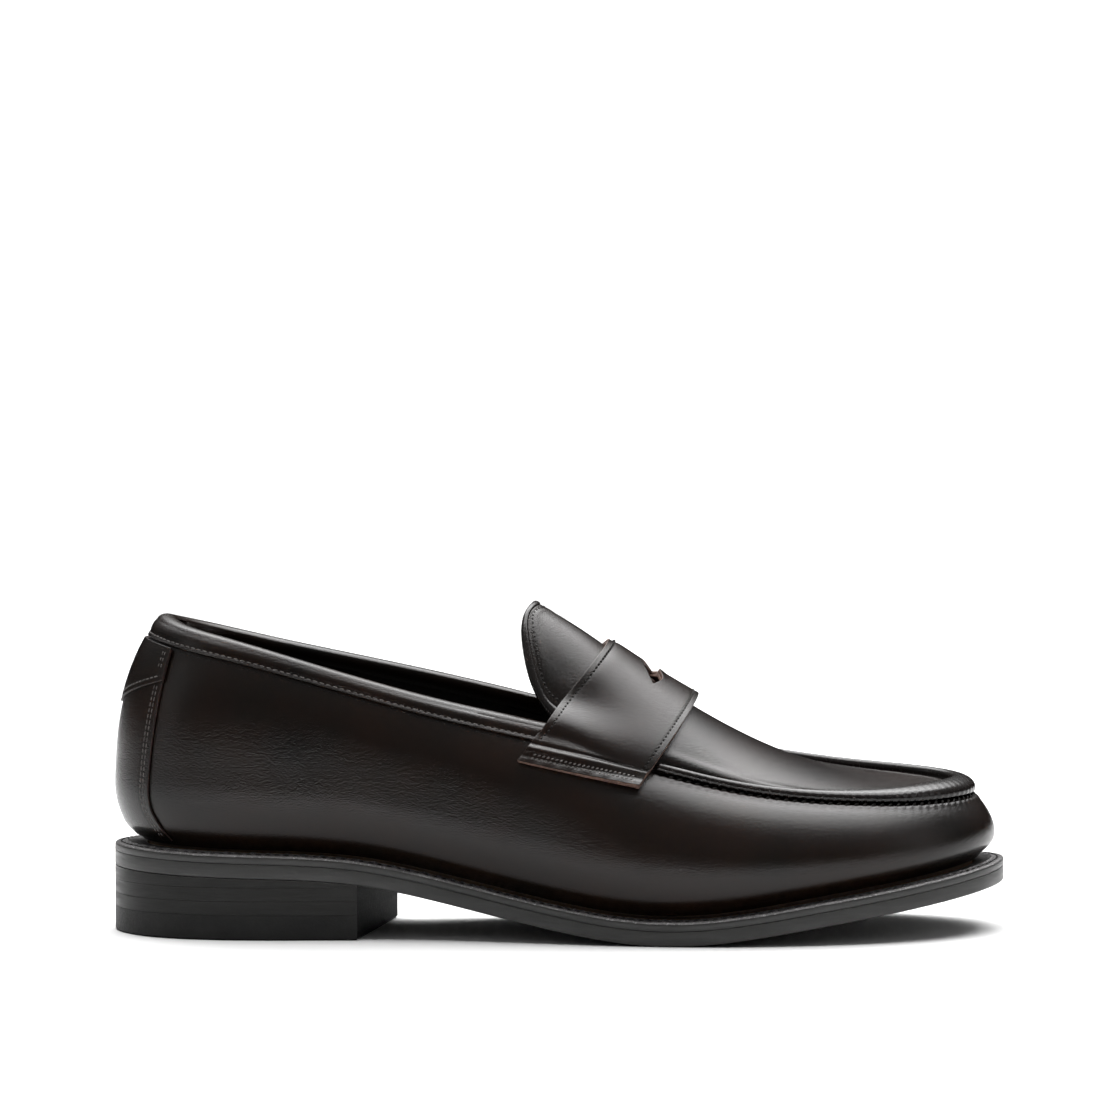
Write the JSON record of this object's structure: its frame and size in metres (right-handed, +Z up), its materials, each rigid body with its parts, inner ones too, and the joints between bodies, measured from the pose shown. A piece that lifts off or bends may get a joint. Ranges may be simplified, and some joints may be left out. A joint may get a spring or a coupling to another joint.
{
  "type": "penny loafer",
  "caption": "Right-foot penny loafer in dark leather with a slotted saddle strap, moccasin apron, stitched welt and stacked heel.",
  "frame": {"origin": "on the ground, under the middle of the shoe's length and width", "axes": "+X from heel to toe, +Y to the inner (medial) side of this right shoe, +Z up"},
  "size_m": [0.3, 0.102, 0.1108],
  "materials": {
    "upper_leather": "burnished, semi-gloss",
    "edge_leather": "raw cut edge",
    "lining_leather": "matte",
    "welt_leather": "waxed, wheeled",
    "insole_leather": "matte",
    "sole": "waxed edge",
    "stacked_heel": "waxed edge",
    "rubber_heel": "matte",
    "thread": "waxed thread",
    "canvas": "woven",
    "cork": "granular",
    "foam": "open cell",
    "stiffener": "matte",
    "steel": "bare"
  },
  "bodies": {
    "rearfoot": {"heel_top_piece": "rubber_heel", "heel_lift_3": "stacked_heel", "heel_lift_2": "stacked_heel", "heel_lift_1": "stacked_heel", "heel_nails": "steel", "outsole_rear": "sole", "welt": "welt_leather", "welt_stitching": "thread", "gemming_rib": "canvas", "inseam_thread": "thread", "shank": "steel", "cork_filler": "cork", "insole_board": "insole_leather", "heel_pad": "foam", "sock_liner": "lining_leather", "side_upper_rear": "upper_leather", "side_upper_bend_outer": "upper_leather", "side_upper_bend_inner": "upper_leather", "heel_counter": "stiffener", "quarter_lining": "lining_leather", "vamp_lining": "lining_leather", "apron_rear": "upper_leather", "apron_bend": "upper_leather", "apron_lining": "lining_leather", "ridge_piping": "upper_leather", "ridge_stitches": "thread", "saddle_strap": "upper_leather", "saddle_strap_lining": "edge_leather", "saddle_strap_stitches": "thread", "collar_band": "upper_leather", "collar_stitches": "thread", "back_stay": "upper_leather", "back_stay_stitches": "thread", "heel_tab": "upper_leather", "heel_tab_stitches": "thread"},
    "forefoot": {"outsole_fore": "sole", "side_upper_fore": "upper_leather", "toe_puff": "stiffener", "apron_fore": "upper_leather"},
    "tongue_flap": {"tongue": "upper_leather", "tongue_lining": "lining_leather", "tongue_binding": "upper_leather", "tongue_stitches": "thread"}
  },
  "joints": [
    {"name": "forefoot_bend", "type": "hinge", "parent": "rearfoot", "child": "forefoot", "pos_m": [0.05, 0, 0.0135], "axis": [0, -1, 0], "range_deg": [0, 25], "stiffness_Nm_per_rad": 6, "deforming": ["side_upper_bend_outer", "side_upper_bend_inner", "apron_bend", "apron_lining", "vamp_lining", "welt", "welt_stitching", "gemming_rib", "inseam_thread", "insole_board", "cork_filler", "sock_liner", "ridge_piping", "ridge_stitches"]},
    {"name": "tongue_bend", "type": "hinge", "parent": "rearfoot", "child": "tongue_flap", "pos_m": [0.013, 0, 0.097], "axis": [0, 1, 0], "range_deg": [0, 10], "stiffness_Nm_per_rad": 0.15}
  ]
}
